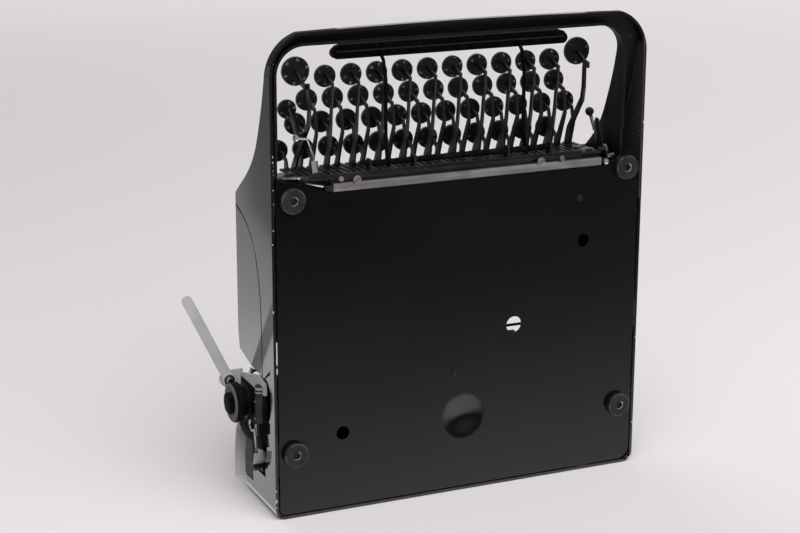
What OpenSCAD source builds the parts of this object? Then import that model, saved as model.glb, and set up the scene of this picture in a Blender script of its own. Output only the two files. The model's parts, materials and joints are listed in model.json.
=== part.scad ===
// Portable manual typewriter, all measures in millimetres.
// The row frame stands on the feet: +X to the typist's right, the keyboard towards -Y, +Z up.
// Inside machine() a place is written (x, u, v): x from the middle of the body, u forward from the
// rear wall, v up from the underside of the base plate.

/* [Body] */
// Width of the body over its two sides
body_w = 280; // [276:2:300]
// Depth of the body from the rear wall to the front edge
body_d = 336; // [334:1:344]
// Height of the ribbon cover over the base plate
body_h = 74.5; // [73:0.5:75]
// Height of the rear wall
rear_h = 61.5; // [58:0.5:62]
// Thickness of the pressed shells
wall = 2; // [1.6:0.1:2.2]
// Radius of the two front corners, seen from above
front_corner = 30; // [20:1:34]
// Radius of the two rear corners, seen from above
rear_corner = 8; // [4:1:12]
// Width of the keyboard frame to the left of the keys
left_cheek = 5.1; // [4.6:0.1:8]
// Width of the keyboard frame to the right of the keys
right_cheek = 18.2; // [15:0.2:19]
// Depth of the keyboard frame in front of the keys
front_bar = 10.5; // [9:0.5:12]
// Height of the front edge
front_h = 7; // [6:0.5:9]
// Radius of the well's front corners
well_corner = 19; // [14:1:24]
// Height of the sides where the carriage passes over them
sill_h = 17; // [14:0.5:18]

/* [Base and feet] */
// Thickness of the base plate
plate_t = 1.2; // [1:0.1:1.5]
// Gap between the base plate and the outside of the body
plate_inset = 3.1; // [2.6:0.1:4]
// Diameter of a rubber foot
foot_d = 17.5; // [15:0.5:19]
// Height of a rubber foot
foot_h = 4.5; // [4:0.25:7]
// Distance of the feet's middles from the sides of the body
foot_inset = 14.3; // [13:0.1:18]
// Diameter of the two peg holes in the plate
peg_hole_d = 9.5; // [8:0.5:10]
// Diameter of the inspection hole in the plate
view_hole_d = 12; // [9:0.5:13]

/* [Keyboard] */
// Distance between neighbouring keys of a row
key_pitch = 18.8; // [18.6:0.1:19.1]
// Diameter of a letter key
key_d = 15; // [13:0.5:15.5]
// Diameter of a shift key
shift_d = 19.5; // [17:0.5:20]
// Height of a key cap
cap_h = 4; // [3.5:0.25:6]
// Height of the underside of the front row of keys
row_v0 = 30; // [29:0.25:32]
// Step up from one row of keys to the next
row_rise = 10; // [9.5:0.25:10.5]
// Thickness of a key lever
lever_t = 1.3; // [1:0.1:1.5]
// Half the height of a key lever at the comb
lever_half = 3.1; // [2.8:0.1:4.4]
// Radius of the rod that the key levers turn on
fulcrum_r = 2; // [1.6:0.1:2.5]
// Play between a shaft and its hole, on the radius
play = 0.05; // [0.02:0.01:0.1]
// Width of a comb slot beyond the lever's thickness
slot_play = 0.8; // [0.6:0.1:1.2]

/* [Type basket] */
// Number of type bars
type_bars = 44; // [36:1:44]
// Angle between the first and the last type bar
basket_angle = 92; // [88:1:96]
// Distance from the printing point to the type bars' pivots, seen from above
pivot_r = 50; // [48:0.5:52]
// Length of a type bar, from its pivot to its tip
bar_l = 55; // [52:0.5:56]
// Thickness of a type bar
bar_t = 0.9; // [0.7:0.05:1]

/* [Carriage] */
// Diameter of the platen
platen_d = 30; // [28:0.5:31]
// Length of the platen
platen_l = 270; // [250:1:272]
// Radius of the platen's shaft
shaft_r = 3; // [2.5:0.1:3.5]
// Diameter of the platen knobs
knob_d = 28.5; // [24:0.5:29]
// Thickness of the left knob
knob_t = 7; // [6:0.25:9]
// Distance of the right knob's face beyond the end plate
knob_stand = 24.8; // [21:0.2:31.8]
// Length of the return lever beyond its pivot
return_l = 68; // [60:1:74]
// Width of the return lever
return_w = 7.5; // [6:0.25:8.5]
// Diameter of a ribbon spool
spool_d = 40; // [36:0.5:41]

/* [Hidden] */
$fn = 48;

// Places shared by several pieces
foot_u = [46.8, 224.4];
sill_u = [24.3, 97];
seam_u = 208;
seam_v = 22.6;
lip_u = 231;
half_w = body_w / 2;
well_x = [left_cheek - half_w, half_w - right_cheek];
well_u = body_d - front_bar;
inner_x = half_w - wall;
foot_x = half_w - foot_inset;
frame_x = 5.99 * key_pitch + 7.4;
frame_t = 2;
fulcrum = [134, 12];
bar_shaft = [242.5, 6.5];
print_u = 86;
print_v = 57;
pivot_v = 34;
platen_at = [70, 53];
platen_r = platen_d / 2;
platen_gap = 3;
end_x = half_w - 2;
end_t = 2.2;
knob_reach = end_x + end_t + knob_stand;
knob_gap = 0.3;
hub_t = 6;
rail_gap = 0.4;
seam_gap = 0.65;
clearance = 0.3;
comb_u = 235.8;
comb_t = 1.5;
comb_top = 45.5;
rail_top = 5;
lever_pivot = [-end_x - 11, 82];
lever_reach = 29 - lever_pivot[0];
origin_x = (lever_reach - knob_reach) / 2;

row_u = [299, 282, 264, 244];
row_count = [10, 11, 12, 12];
row_x0 = [-4.74, -5.24, -5.49, -5.99] * key_pitch;
row_letter = ["z", "a", "q", "n"];
function key_name(r, i) = str("key_", row_letter[r], "_", i < 9 ? "0" : "", i + 1);
single_rows = [0, 1, 2];

paint = "#1b1a1c";
plate_paint = "#242326";
dark_steel = "#2c2b2e";
rubber = "#333438";
raw_steel = "#8d8a86";
chrome = "#c9cacb";
grey_paint = "#b7b6b5";
key_plastic = "#121213";
platen_rubber = "#1d1c1d";

module machine() {
    translate([origin_x, body_d / 2, foot_h]) mirror([0, 1, 0]) children();
}

// A flat piece that stands on edge across x, drawn in (u, v)
module slab(x, t) {
    translate([x - t / 2, 0, 0]) rotate([90, 0, 90]) linear_extrude(t) children();
}

// The same between two places on x
module across(x0, x1) {
    slab((x0 + x1) / 2, x1 - x0) children();
}

// A round bar along x
module bar_x(x0, x1, at, r) {
    translate([x0, at[0], at[1]]) rotate([0, 90, 0]) cylinder(r = r, h = x1 - x0);
}

// A box by its lowest and highest corners
module box(low, high) {
    translate(low) cube(high - low);
}

function unit(v) = v / norm(v);
function bezier(p, t) = pow(1 - t, 3) * p[0] + 3 * t * pow(1 - t, 2) * p[1]
    + 3 * t * t * (1 - t) * p[2] + t * t * t * p[3];
function curve(p, steps) = [for (i = [0 : steps]) bezier(p, i / steps)];
function arc(c, r, a0, a1, steps) =
    [for (i = [0 : steps]) let(a = a0 + (a1 - a0) * i / steps) c + r * [cos(a), sin(a)]];
function shifted(p, by) = [for (q = p) q + by];

// The outline of a strip of sheet that follows points p with half-widths h
function mitre(p, i) = let(
    a = i > 0 ? unit(p[i] - p[i - 1]) : unit(p[1] - p[0]),
    b = i < len(p) - 1 ? unit(p[i + 1] - p[i]) : a,
    m = unit(a + b)) [-m[1], m[0]] / max(0.6, [-m[1], m[0]] * [-b[1], b[0]]);
function strip(p, h) = concat(
    [for (i = [0 : len(p) - 1]) p[i] + mitre(p, i) * h[i]],
    [for (i = [len(p) - 1 : -1 : 0]) p[i] - mitre(p, i) * h[i]]);

// Shell curves, in (u, v)
seam = curve([[110, seam_v], [175, seam_v - 2], [199, 33], [seam_u, body_h - 1.5]], 14);
brow = curve([[210, body_h], [221, body_h - 3], [231, 38], [262, 25]], 12);
sweep = curve([[262, 25], [285, 15.3], [305, 8], [body_d - 6, front_h]], 8);

// The plan of the body, drawn in by an inset
module body_plan(inset) {
    rf = front_corner - inset;
    rr = max(1, rear_corner - inset);
    x = half_w - inset;
    bow_r = 4300;
    intersection() {
        union() {
            translate([-x, inset + rr]) square([2 * x, body_d - 2 * inset - rr - rf]);
            translate([rr - x, inset]) square([2 * (x - rr), 2 * rr]);
            translate([rf - x, body_d - inset - 2 * rf]) square([2 * (x - rf), 2 * rf]);
            for (s = [-1, 1]) {
                translate([s * (x - rr), inset + rr]) circle(rr);
                translate([s * (x - rf), body_d - inset - rf]) circle(rf);
            }
        }
        translate([0, body_d - inset - bow_r]) circle(bow_r, $fn = 1440);
    }
}

// The opening round the keys, let out by an extra
module well_plan(extra) {
    x = well_x + extra * [-1, 1];
    front = well_u + extra;
    r = well_corner + extra;
    translate([x[0], lip_u - extra]) square([x[1] - x[0], front - r - lip_u + extra]);
    translate([x[0] + r, lip_u]) square([x[1] - x[0] - 2 * r, front - lip_u]);
    for (at = [x[0] + r, x[1] - r]) translate([at, front - r]) circle(r);
}

// The rounded section of the body across x, drawn in by an inset
module body_section(inset) {
    r = 4 - inset;
    x = half_w - inset;
    h = body_h - inset;
    translate([-x, -1]) square([2 * x, h - r + 1]);
    translate([r - x, 0]) square([2 * (x - r), h]);
    for (s = [-1, 1]) translate([s * (x - r), h - r]) circle(r);
}

module along_u(u0, u1) {
    translate([0, u1, 0]) rotate([90, 0, 0]) linear_extrude(u1 - u0) children();
}

// Lower body: rear wall, low sides, cheeks, brow over the keys and the frame round the keyboard
module body_shell() {
    edge_r = 5.5;
    side_h = 45.5;
    outer = concat([[0, 0]], arc([edge_r, rear_h - edge_r], edge_r, 180, 90, 6),
        [[12, rear_h], [12.6, side_h], [sill_u[0], side_h], [sill_u[0], sill_h + 3],
        [38, sill_h + 3], [42, sill_h], [62, sill_h],
        [66, 15], [69, 10.5], [73, 7.8], [88, 7.5], [93, 9.5], [sill_u[1], 14],
        [sill_u[1], seam_v]], seam, brow, sweep, [[body_d, front_h - 1.5], [body_d, 0]]);
    drop = [-0.75 * wall, -0.85 * wall];
    inner = concat([[wall, -1]], arc([edge_r, rear_h - edge_r], edge_r - wall, 180, 90, 6),
        [[13, rear_h - wall], [13, body_h + 9], [seam_u, body_h + 9]],
        [[seam_u, body_h - wall]], shifted(brow, drop), shifted(sweep, drop),
        [[body_d, front_h - wall], [body_d, -1]]);
    color(paint) machine() difference() {
        intersection() {
            linear_extrude(body_h + 1) body_plan(0);
            slab(0, body_w + 2) polygon(outer);
            along_u(-1, body_d + 1) body_section(0);
        }
        difference() {
            intersection() {
                translate([0, 0, -1]) linear_extrude(body_h + 20) body_plan(wall);
                slab(0, body_w) polygon(inner);
            }
            translate([0, 0, -2]) linear_extrude(body_h + 30) difference() {
                well_plan(wall);
                translate([well_x[0] - 2 * wall, lip_u - 2 * wall])
                    square([well_x[1] - well_x[0] + 4 * wall, 2 * wall]);
            }
        }
        translate([0, 0, -2]) linear_extrude(body_h + 30) well_plan(0);
        box([-inner_x, wall, -1], [inner_x, 252, plate_t + 0.1]);
    }
}

// Base plate with its two ears round the front feet, its holes and its pressed-in dish
module bottom_plate() {
    x = half_w - plate_inset;
    dish = [1.1, 55.4];
    dish_r = 17.5;
    dish_h = 2.8;
    rear = plate_inset;
    edge = concat(
        arc([-x + 4, rear + 4], 4, 180, 270, 4), arc([x - 9, rear + 9], 9, 270, 360, 6),
        [[x, 238.5], [x - 8.5, 237], [x - 11, 235.9], [x - 15.1, 232.8], [x - 18.5, 230.1],
         [x - 23.5, 227.8], [x - 28.2, 226.2], [42 - x, 226.4], [29.9 - x, 229.6], [16.9 - x, 235], [-x, 239]]);
    color(plate_paint) machine() union() {
        difference() {
            linear_extrude(plate_t) polygon(edge);
            translate([93.7, 173.9, -1]) cylinder(d = peg_hole_d, h = plate_t + 2);
            translate([-90.3, 56.6, -1]) cylinder(d = peg_hole_d, h = plate_t + 2);
            translate([40.1, 118.1, -1]) cylinder(d = view_hole_d, h = plate_t + 2);
            translate([dish[0], dish[1], -1]) cylinder(r = dish_r - 1, h = plate_t + 2);
            for (s = [-1, 1]) for (u = foot_u)
                translate([s * foot_x, u, -1]) cylinder(r = 1.6, h = plate_t + 2);
        }
        translate([dish[0], dish[1], 0]) rotate_extrude() polygon(concat(
            [for (i = [0 : 9]) [dish_r * i / 9, dish_h * (1 + cos(20 * i)) / 2]],
            [for (i = [9 : -1 : 0]) [dish_r * i / 9, plate_t + dish_h * (1 + cos(20 * i)) / 2]]));
    }
}

// Four rubber feet, each with a recess for its screw
module rubber_feet() {
    r = foot_d / 2;
    color(rubber) machine() for (s = [-1, 1]) for (u = foot_u)
        translate([s * foot_x, u, -foot_h]) rotate_extrude() polygon([
            [3, 0], [r - 1, 0], [r - 0.3, 0.4], [r, 1.2], [r, foot_h - 0.6], [r - 0.6, foot_h],
            [1.6, foot_h], [1.6, foot_h - 1.5], [3, foot_h - 1.5]]);
}

// The outline of one side frame, in (u, v), with its holes
module side_frame_outline() {
    difference() {
        polygon([[18, plate_t], [228.3, plate_t], [228.3, 14], [226, 28], [170, 28], [166, 42],
            [150, 42], [146, 28], [120, 28], [100, 22], [18, 22]]);
        translate([60, 12]) circle(5.5);
        translate([85, 12]) circle(5.5);
        translate([110, 12]) circle(6);
        translate([165, 14]) circle(7);
        translate([190, 14]) circle(7);
        translate(fulcrum) circle(fulcrum_r + play);
        translate(colour_at) circle(1.5 + play);
    }
}

// A ring sector about the printing point
module sector(r0, r1, v0, v1, a) {
    translate([0, print_u, v0]) linear_extrude(v1 - v0) polygon(concat(
        arc([0, 0], r1, 90 - a, 90 + a, 24), arc([0, 0], r0, 90 + a, 90 - a, 24)));
}

spool_at = [100, 158];
cup_v = 42;
guide_at = [100, 16];
drum_at = [-40, 55.4];
wheel_at = [40, 14];

// Inner chassis: side frames, cross members, type rest, ribbon cups and the small studs,
// each a piece of its own that is spot-welded or riveted to its neighbour
module chassis_frame() {
    rest_r = pivot_r + 43;
    rest_v = pivot_v - 3.8;
    cup_r = spool_d / 2 + 1.5;
    rest_a = basket_angle / 2 + 2;
    gap = 0.1;
    x_in = frame_x - gap;
    x_out = frame_x + frame_t + gap;
    rest_u = print_u + rest_r * cos(rest_a);
    rest_x = (rest_r + 3) * sin(rest_a) + gap;
    color(dark_steel) machine() {
        for (s = [-1, 1]) {
            slab(s * (frame_x + frame_t / 2), frame_t) side_frame_outline();
            for (u = foot_u) difference() {
                box([s > 0 ? foot_x - 3.5 : -inner_x, u - 10, plate_t],
                    [s > 0 ? inner_x : 3.5 - foot_x, min(u + 10, 228.3), plate_t + 4]);
                translate([s * foot_x, u, 0]) cylinder(r = 1.6, h = 9);
            }
            translate([s * guide_at[0], guide_at[1], plate_t + 3 + gap])
                cylinder(r = 3, h = 41 - plate_t - gap);
            box([s * guide_at[0] - 5, guide_at[1] - 4, plate_t],
                [s * guide_at[0] + 5, 19.9, plate_t + 3]);
            translate([s * spool_at[0], spool_at[1], cup_v]) {
                cylinder(r = cup_r + 1, h = 1);
                translate([0, 0, 1]) cylinder(r = fulcrum_r, h = 14);
            }
            box([s > 0 ? rest_x : -x_in, rest_u - 4, rest_v - 4],
                [s > 0 ? x_in : -rest_x, rest_u + 4, rest_v - 2]);
            box([drum_at[0] + 23 * s - 2, 22 + gap, plate_t + 0.3],
                [drum_at[0] + 23 * s + 2, 78, plate_t + 3]);
            box([drum_at[0] + 23 * s - 2, drum_at[1] - 4, plate_t + 3 + gap],
                [drum_at[0] + 23 * s + 2, drum_at[1] + 4, 14.5 - gap]);
        }
        box([-x_in, 20, plate_t], [x_in, 22, 22]);
        box([-x_in, fulcrum[0] - 6, 19.5], [x_in, fulcrum[0] + 6, 22]);
        sector(rest_r - 3, rest_r + 3, rest_v - 4, rest_v, rest_a);
        bar_x(-x_in, x_in, [111, 20], 1);
        box([drum_at[0] - 25, drum_at[1] - 4, 14.5], [drum_at[0] + 25, drum_at[1] + 4, 16]);
        translate([drum_at[0], drum_at[1], 2]) cylinder(r = fulcrum_r, h = 12.5 - gap);
        box([wheel_at[0] - 6, 52, plate_t], [wheel_at[0] + 6, 54, wheel_at[1] + 5]);
        translate([wheel_at[0], 52 - gap, wheel_at[1]]) rotate([90, 0, 0])
            cylinder(r = fulcrum_r, h = 6);
    }
}

// All places of the key levers across x, and the comb's two ends
lever_xs = [for (r = [0 : 3]) for (i = [0 : row_count[r] - 1]) row_x0[r] + i * key_pitch];
shift_x = [row_x0[3] + key_pitch / 4, row_x0[3] + 11.25 * key_pitch];
comb_x = [row_x0[3] - 4.4, max(lever_xs) + 3.4];

// Raw steel rail along the front of the base plate
module front_rail() {
    color(raw_steel) machine() across(comb_x[0] + 21.2, comb_x[1]) polygon([
        [226.6, 1], [227.2, 0.3], [231.4, 0.3], [232.3, 0.9], [232.6, 1.8], [232.6, rail_top],
        [231.1, rail_top], [231.1, 1.8], [228.1, 1.8], [228.1, rail_top], [226.6, rail_top]]);
}

// Slotted comb that guides the key levers, leaning back a little, with ears for the space bar
module key_comb() {
    slot_w = lever_t + slot_play;
    slot_v = 12.5;
    low = comb_u + 1.1;
    high = comb_u - 0.6;
    foot = [228.5, low - comb_t];
    color(dark_steel) machine() {
        difference() {
            across(comb_x[0], comb_x[1]) polygon([
                [foot[0], rail_top], [foot[1], rail_top], [foot[1], 1.6], [low, 1.6],
                [high, comb_top], [high - comb_t, comb_top], [foot[1] - 0.1, rail_top + 1.5],
                [foot[0], rail_top + 1.5]]);
            for (x = concat(lever_xs, shift_x))
                box([x - slot_w / 2, high - 3, slot_v], [x + slot_w / 2, low + 1, 99]);
        }
        for (x = ear_x) slab(x, 1.5) difference() {
            polygon([[low + 0.1, 3.6], [bar_shaft[0] + 3.5, 3.6], [bar_shaft[0] + 3.5, 8.6],
                [bar_shaft[0] + 1.6, 10], [low + 0.1, 10]]);
            translate(bar_shaft) circle(fulcrum_r + play);
        }
    }
}

// Rod through the rear ends of all key levers
module fulcrum_rod() {
    color(chrome) machine() bar_x(-frame_x - frame_t - 1, frame_x + frame_t + 1, fulcrum, fulcrum_r);
}

function bar_angle(i) = (i / (type_bars - 1) - 0.5) * basket_angle;

// Slotted segment, its bridge and the guide at the printing point
module type_segment() {
    color(raw_steel) machine() union() {
        difference() {
            sector(pivot_r - 4, pivot_r + 9, 22, pivot_v + 2.5, basket_angle / 2 + 3);
            for (i = [0 : type_bars - 1]) translate([0, print_u, 0]) rotate([0, 0, -bar_angle(i)])
                box([-bar_t / 2 - 0.12, pivot_r - 2.5, pivot_v - 4.5],
                    [bar_t / 2 + 0.12, pivot_r + 12, 99]);
        }
        box([-5, 99, 27], [5, print_u + pivot_r - 3, 29.5]);
        difference() {
            slab(0, 10) polygon(strip([[99.8, 27], [99.8, 46], [95.5, 51], [91, 54],
                [90.2, print_v + 4]], [0.8, 0.8, 0.8, 0.7, 0.6]));
            box([-1.6, 88, print_v - 3], [1.6, 96, print_v + 9]);
        }
    }
}

// Type bars at rest, fanned about the printing point
module type_bars() {
    tip = pivot_r + bar_l;
    color(dark_steel) machine() for (i = [0 : type_bars - 1])
        translate([0, print_u, 0]) rotate([0, 0, -bar_angle(i)]) union() {
            slab(0, bar_t) polygon(strip([[pivot_r - 1.6, pivot_v], [pivot_r + 12, pivot_v - 0.4],
                [tip - 3, pivot_v - 2.4]], [1.8, 1.7, 1.2]));
            box([-1.3, tip - 5, pivot_v - 5], [1.3, tip, pivot_v + 2]);
        }
}

// Ribbon cover: one shell with a deep U cut out of it over the type basket
module ribbon_cover() {
    t = 1.5;
    rear_top = body_h - 6;
    gap = [-0.6 * seam_gap, 0.9 * seam_gap];
    front_u = seam_u - seam_gap;
    mouth = [80, 102];
    bottom = concat([[sill_u[1], seam_v + seam_gap]], shifted(seam, gap));
    outer = concat(bottom, [[front_u, body_h - 1.2], [front_u, body_h], [165, body_h],
        [138, body_h - 1], [120, body_h - 3], [sill_u[1] + 7, rear_top], [sill_u[1] + 1.4, 46]]);
    inner = [[sill_u[1] - 9, 0], [front_u - t, 0], [front_u - t, body_h - t],
        [165, body_h - t], [138, body_h - 1 - t], [120, body_h - 3 - t], [sill_u[1] - 9, rear_top - t]];
    color(paint) machine() difference() {
        intersection() {
            slab(0, body_w) polygon(outer);
            along_u(0, body_d) body_section(0);
        }
        slab(0, body_w - 2 * t) polygon(inner);
        intersection() {
            translate([-mouth[0], 0, 0]) cube([2 * mouth[0], 300, 99]);
            translate([0, print_u, 0]) cylinder(r = mouth[1], h = 99);
        }
    }
}

// Rail that the carriage runs along, lifted by the shift
module carriage_rail() {
    color(raw_steel) machine() difference() {
        union() {
            slab(0, 2 * end_x - 20) difference() {
                polygon([[20, 22 + clearance], [24, 22 + clearance], [24, 34], [32, 34], [32, 42],
                    [20, 42]]);
                translate([28, 34]) circle(1.2);
                translate([28, 42]) circle(1.2);
            }
            for (s = [-1, 1]) box([s * guide_at[0] - 6, guide_at[1] - 6, 34],
                [s * guide_at[0] + 6, 20.5, 39]);
        }
        for (s = [-1, 1]) translate([s * guide_at[0], guide_at[1], 30])
            cylinder(r = 3 + play, h = 20);
    }
}

// Carriage frame: a channel round the rail, a pan and a curved paper guide under the platen
module carriage_frame() {
    g = rail_gap;
    guide_r = platen_r + platen_gap;
    color(dark_steel) machine() union() {
        slab(0, 2 * end_x) polygon([[25, 42 + g], [32 + g, 42 + g], [32 + g, 34 - g], [25, 34 - g],
            [25, 31], [88, 31], [91, 36], [89.6, 36.6], [87, 33], [34 + g, 33], [34 + g, 44 + g],
            [25, 44 + g]]);
        slab(0, 2 * end_x - 8) polygon(concat(
            arc(platen_at, guide_r, 205, 330, 16), arc(platen_at, guide_r + 2, 330, 205, 16)));
        box([20 - end_x, 46, 25.2], [end_x - 20, 51, 31]);
    }
}

release_at = [56, 30];
paper_release_at = [48, 61];
lug_v = [69, 71];

// End plates of the carriage, with the return lever's lug and the line-space cylinder
module carriage_ends() {
    outline = concat([[47, 21.5], [62, 19.5], [92, 19.5], [95.3, 31], [88, 60], [84, 76],
        [80, 80], [66, 81]], arc([66, 56], 25.5, 105, 200, 8), [[42, 30]]);
    arm = [[13.5, 46.4], [44, 46.4], [44, 58], [34, 59], [30, 61.2], [13.5, 61.2]];
    left = -end_x - end_t;
    color(grey_paint) machine() union() {
        for (s = [-1, 1]) slab(s * (end_x + end_t / 2), end_t) difference() {
            union() {
                polygon(outline);
                polygon(arm);
            }
            translate(platen_at) circle(shaft_r + play);
            translate(s < 0 ? release_at : paper_release_at) circle(1.5 + play);
        }
        difference() {
            union() {
                box([lever_pivot[0], 76, lug_v[0]], [-end_x, 88, lug_v[1]]);
                translate([lever_pivot[0], lever_pivot[1], lug_v[0]])
                    cylinder(r = 6, h = lug_v[1] - lug_v[0]);
            }
            translate([lever_pivot[0], lever_pivot[1], 60]) cylinder(r = 1.5 + play, h = 20);
        }
        translate([left - 1.3, 63.3, 24.6]) rotate([-90, 0, 0]) cylinder(r = 3.3, h = 27);
        box([left - 3.8, 55.6, 20], [left + 0.5, 63.3, 25]);
    }
}

// Paper table behind the platen
module paper_table() {
    sheet_t = 1.4;
    color(grey_paint) machine() slab(-2, 2 * end_x + 4) polygon(strip(
        [[4, 79.5], [30, 77.5], [42, 74.5], [48, 70.5]], [for (i = [0 : 3]) sheet_t / 2]));
}

// Platen roller with its shaft
module platen() {
    color(platen_rubber) machine() union() {
        bar_x(-platen_l / 2, platen_l / 2, platen_at, platen_r);
        bar_x(-end_x - end_t - knob_gap - hub_t - knob_t + 2, knob_reach - 4, platen_at, shaft_r);
        bar_x(-platen_l / 2 - 1.5, platen_l / 2 + 1.5, platen_at, platen_r - 3);
    }
}

// A platen knob by its revolved section: a dished face, a centre boss and a grooved rim
module knob(t, hole) {
    r = knob_d / 2;
    rotate_extrude() polygon([[shaft_r + play, 0], [r - 1, 0], [r, 0.8], [r, t - 2],
        [r - 0.8, t - 0.8], [r - 2, t - 0.4], [7, t - 1.2], [6, t - 0.2], [0, t],
        [0, hole], [shaft_r + play, hole]]);
}

// Both platen knobs, each with the collar between it and the end plate
module platen_knobs() {
    right_t = 15;
    left = -end_x - end_t - knob_gap;
    color(key_plastic) machine() union() {
        translate([left - hub_t, platen_at[0], platen_at[1]]) rotate([0, -90, 0])
            knob(knob_t, knob_t - 2);
        difference() {
            bar_x(left - hub_t, left, platen_at, 10.5);
            bar_x(left - hub_t - 1, left + 1, platen_at, shaft_r + play);
        }
        translate([knob_reach - right_t, platen_at[0], platen_at[1]]) rotate([0, 90, 0])
            knob(right_t, right_t - 4);
        difference() {
            bar_x(end_x + end_t + knob_gap, knob_reach - right_t, platen_at, 8);
            bar_x(end_x, knob_reach, platen_at, shaft_r + play);
        }
    }
}

// Return lever: a flat bar that rises as it reaches forward from its pivot
module return_lever() {
    boss_v = lug_v[0] - clearance - 2.4;
    swing = 24.2;
    climb = 8.4;
    color(chrome) machine() translate([lever_pivot[0], lever_pivot[1], 0]) union() {
        translate([0, 0, boss_v]) cylinder(r = 1.5, h = lug_v[1] + 1 - boss_v);
        translate([0, 0, boss_v]) cylinder(r = 4.4, h = 2.4);
        translate([0, 0, boss_v]) rotate([climb, 0, swing]) linear_extrude(1.5) union() {
            translate([-return_w / 2, 0]) square([return_w, return_l - return_w / 2]);
            translate([0, return_l - return_w / 2]) circle(return_w / 2);
            circle(return_w / 2 + 0.9);
        }
    }
}

// Lever on the right end that frees the paper
module paper_release_lever() {
    x = end_x + end_t + clearance;
    color(chrome) machine() union() {
        bar_x(end_x, x + 2, paper_release_at, 1.5);
        slab(x + 1, 2) union() {
            translate(paper_release_at) circle(5);
            polygon(strip([paper_release_at, [44, 72], [36, 84]], [3.5, 3, 2.6]));
        }
        slab(x + 4, 8) polygon(strip([[39, 80], [36, 84.3]], [1.2, 1]));
    }
}

// Lever on the left end that frees the carriage
module carriage_release_lever() {
    x = -end_x - end_t - clearance;
    color(chrome) machine() union() {
        bar_x(x - 2, -end_x, release_at, 1.5);
        slab(x - 1, 2) union() {
            translate(release_at) circle(4.2);
            polygon(strip([release_at, [48, 27], [42, 24.6], [36, 25.2]], [3.2, 2.8, 2.2, 1.6]));
        }
        slab(x - 1.9, 3.8) polygon(strip([[53, 28], [44.4, 25.4]], [2.6, 2.6]));
        slab(x - 1.9, 7.6) polygon(strip([[41, 24.7], [36, 25.2], [29.2, 29.8]], [1, 1, 0.8]));
        slab(x - 1.9, 5) polygon(strip([[31, 28.7], [27.4, 31.1]], [1.8, 1.7]));
    }
}

// A ribbon spool with its wound ribbon
module spool(s) {
    r = spool_d / 2;
    color(dark_steel) machine() translate([s * spool_at[0], spool_at[1], cup_v + 1 + clearance])
        rotate_extrude() polygon([[fulcrum_r + play, 0], [r, 0], [r, 0.8], [14, 0.8], [14, 10.2],
            [r, 10.2], [r, 11], [5, 11], [5, 12.2], [fulcrum_r + play, 12.2]]);
}

module ribbon_spool_left() { spool(-1); }
module ribbon_spool_right() { spool(1); }

// Drum of the spring that draws the carriage to the left
module spring_drum() {
    r = 16;
    color(raw_steel) machine() translate([drum_at[0], drum_at[1], 3.4]) rotate_extrude()
        polygon([[fulcrum_r + play, 0], [r, 0], [r, 1], [r - 1.5, 2], [r - 1.5, 7], [r, 8],
            [r, 9], [6, 9], [6, 10.5], [fulcrum_r + play, 10.5]]);
}

// Toothed wheel that lets the carriage move one letter at a time
module escapement_wheel() {
    teeth = 18;
    r = 10.4;
    color(raw_steel) machine() translate([wheel_at[0], 51 - clearance, wheel_at[1]])
        rotate([90, 0, 0]) difference() {
            linear_extrude(4) polygon([for (i = [0 : 2 * teeth - 1])
                let(a = 180 * i / teeth, q = i % 2 == 0 ? r : r - 1.8) q * [cos(a), sin(a)]]);
            translate([0, 0, -1]) cylinder(r = fulcrum_r + play, h = 9);
        }
}

// A key cap: a dished top and a rim underneath
module key_cap(d) {
    r = d / 2;
    rotate_extrude() polygon([[0, 1.2], [r - 1.9, 1.2], [r - 1.9, 0], [r - 0.4, 0], [r, 0.5],
        [r, cap_h - 1.4], [r - 0.9, cap_h], [r - 2.3, cap_h - 0.4], [0, cap_h - 1]]);
}

// Bends of a lever in front of the comb, in (u, v), for each row from the front
row_comb_v = [28.8, 35, 42.6, 44];
row_knee = [[263, 22], [262, 23.6], [252, 36.3], [240.6, 45]];
row_toe = [[295.5, 18], [277.5, 26.6], [261.5, 39.5], [243.6, 50]];

function row_v(r) = row_v0 + r * row_rise;
function lever_path(r) = [fulcrum, [196, 14.2], [comb_u, row_comb_v[r]], row_knee[r], row_toe[r],
    [row_u[r], row_v(r) + 0.7]];

// One key: a cap pressed on the bent end of a flat lever that turns on the fulcrum rod
module key(r, x) {
    widths = [3.8, 3.8, lever_half, 1.7, 1.5, 1.4];
    color(key_plastic) machine() {
        slab(x, lever_t) difference() {
            union() {
                polygon(strip(lever_path(r), widths));
                translate(fulcrum) circle(4.6);
            }
            translate(fulcrum) circle(fulcrum_r + play);
        }
        translate([x, row_u[r], row_v(r)]) key_cap(key_d);
    }
}

module single_key(r, i) { key(r, row_x0[r] + i * key_pitch); }

// The number row, twelve keys alike
module number_row_keys() {
    for (i = [0 : row_count[3] - 1]) single_key(3, i);
}

arm_x = [lever_x_between(12), lever_x_between(34)];
ear_x = [for (k = [9, 16, 31, 38]) lever_x_between(k)];
function lever_x_between(k) = row_x0[3] + (k + 0.5) * key_pitch / 4;

// Space bar with its two arms and their shaft
module space_bar() {
    bar_x0 = -88;
    bar_x1 = 88;
    bar_u = 315.4;
    bar_v = 20;
    half = 3.8;
    color(key_plastic) machine() union() {
        translate([0, 0, bar_v]) linear_extrude(6) union() {
            translate([bar_x0 + half, bar_u - half]) square([bar_x1 - bar_x0 - 2 * half, 2 * half]);
            translate([bar_x0 + half, bar_u]) circle(half);
            translate([bar_x1 - half, bar_u]) circle(half);
        }
        for (x = arm_x) slab(x, 1.2) union() {
            polygon(strip([bar_shaft, [256, 10.5], [298, 10.4], [310, 14.5], [bar_u, bar_v + 1]],
                [2.6, 1.8, 1.5, 1.4, 1.4]));
            translate(bar_shaft) circle(3.4);
        }
        bar_x(-70, 70, bar_shaft, fulcrum_r);
    }
}

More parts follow.
